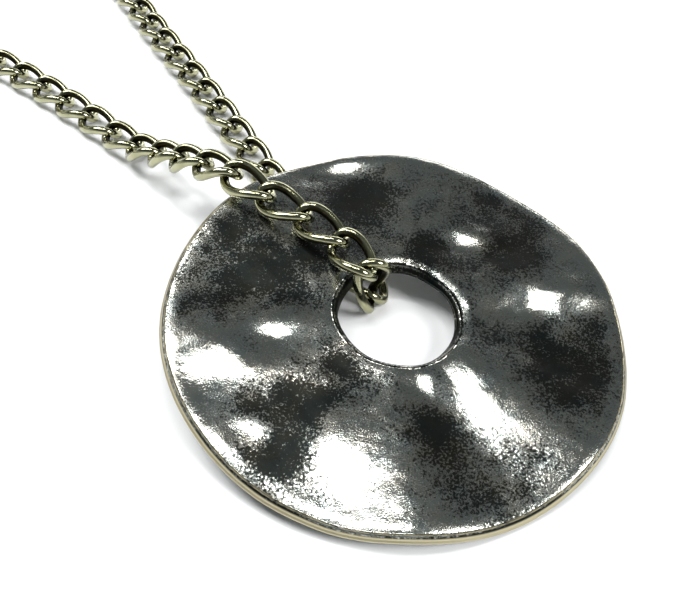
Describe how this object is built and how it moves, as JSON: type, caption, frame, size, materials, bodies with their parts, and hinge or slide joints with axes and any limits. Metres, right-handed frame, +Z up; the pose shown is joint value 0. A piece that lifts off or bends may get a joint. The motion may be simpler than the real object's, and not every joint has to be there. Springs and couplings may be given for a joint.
{
  "type": "pendant necklace",
  "caption": "Round wavy hammered metal washer with a centre hole, on a curb chain that passes over it, through the hole and back under. The chain ends in a lobster clasp and an end ring.",
  "frame": {"origin": "on the table the necklace lies on, under the middle of the washer", "axes": "+Z up from the table; +Y from the washer towards the clasp end of the chain; +X to the right of the view"},
  "size_m": [0.1316, 0.1047, 0.009],
  "materials": {
    "antique_silver": "hammered, oxidised dark in the hollows and rubbed bright on the high spots",
    "bright_nickel": "polished nickel-coloured plating with dark crevices",
    "spring_steel": "drawn wire, unplated",
    "tie_paper": "plain paper-covered twist tie"
  },
  "bodies": {
    "laid_chain": {"front_link_09": "bright_nickel", "front_link_10": "bright_nickel", "front_link_11": "bright_nickel", "front_link_12": "bright_nickel", "front_link_13": "bright_nickel", "front_link_14": "bright_nickel", "back_link_09": "bright_nickel", "back_link_10": "bright_nickel", "back_link_11": "bright_nickel", "back_link_12": "bright_nickel", "back_link_13": "bright_nickel", "back_link_14": "bright_nickel", "back_link_15": "bright_nickel", "front_leg": "bright_nickel", "back_leg": "bright_nickel", "front_leg_coil": "bright_nickel", "back_leg_coil": "bright_nickel", "front_tail": "bright_nickel", "back_tail": "bright_nickel", "coil_tie": "tie_paper"},
    "pendant_chain": {"hole_link": "bright_nickel", "front_link_01": "bright_nickel", "front_link_02": "bright_nickel", "front_link_03": "bright_nickel", "front_link_04": "bright_nickel", "front_link_05": "bright_nickel", "front_link_06": "bright_nickel", "front_link_07": "bright_nickel", "front_link_08": "bright_nickel", "back_link_01": "bright_nickel", "back_link_02": "bright_nickel", "back_link_03": "bright_nickel", "back_link_04": "bright_nickel", "back_link_05": "bright_nickel", "back_link_06": "bright_nickel", "back_link_07": "bright_nickel", "back_link_08": "bright_nickel"},
    "pendant": {"pendant_washer": "antique_silver"},
    "clasp_link": {"clasp_ring": "bright_nickel"},
    "clasp": {"clasp_body": "bright_nickel", "clasp_pin": "spring_steel", "clasp_spring": "spring_steel"},
    "lever": {"clasp_lever": "bright_nickel"},
    "ring": {"end_ring": "bright_nickel"}
  },
  "joints": [
    {"name": "pendant_lift", "type": "hinge", "parent": "laid_chain", "child": "pendant_chain", "pos_m": [-0.02699, 0.03085, 0.00144], "axis": [-0.6546, -0.756, 0], "range_deg": [0, 30]},
    {"name": "washer_turn", "type": "hinge", "parent": "pendant_chain", "child": "pendant", "pos_m": [0, 0, 0.00319], "axis": [0.0538, -0.0786, 0.9955], "continuous": true},
    {"name": "clasp_ring_swing", "type": "hinge", "parent": "laid_chain", "child": "clasp_link", "pos_m": [-0.08215, 0.06639, 0.00145], "axis": [-0.0454, 0.999, 0], "range_deg": [0, 45]},
    {"name": "clasp_swing", "type": "hinge", "parent": "clasp_link", "child": "clasp", "pos_m": [-0.08639, 0.0662, 0.00147], "axis": [-0.0369, 0.8108, -0.5842], "range_deg": [0, 20]},
    {"name": "lever_press", "type": "hinge", "parent": "clasp", "child": "lever", "pos_m": [-0.09014, 0.06713, 0.00147], "axis": [0, 0, 1], "range_deg": [0, 30], "stiffness_Nm_per_rad": 0.004},
    {"name": "end_ring_swing", "type": "hinge", "parent": "laid_chain", "child": "ring", "pos_m": [-0.08235, 0.05659, 0.00125], "axis": [-0.0499, 0.9988, 0], "range_deg": [0, 45]}
  ]
}
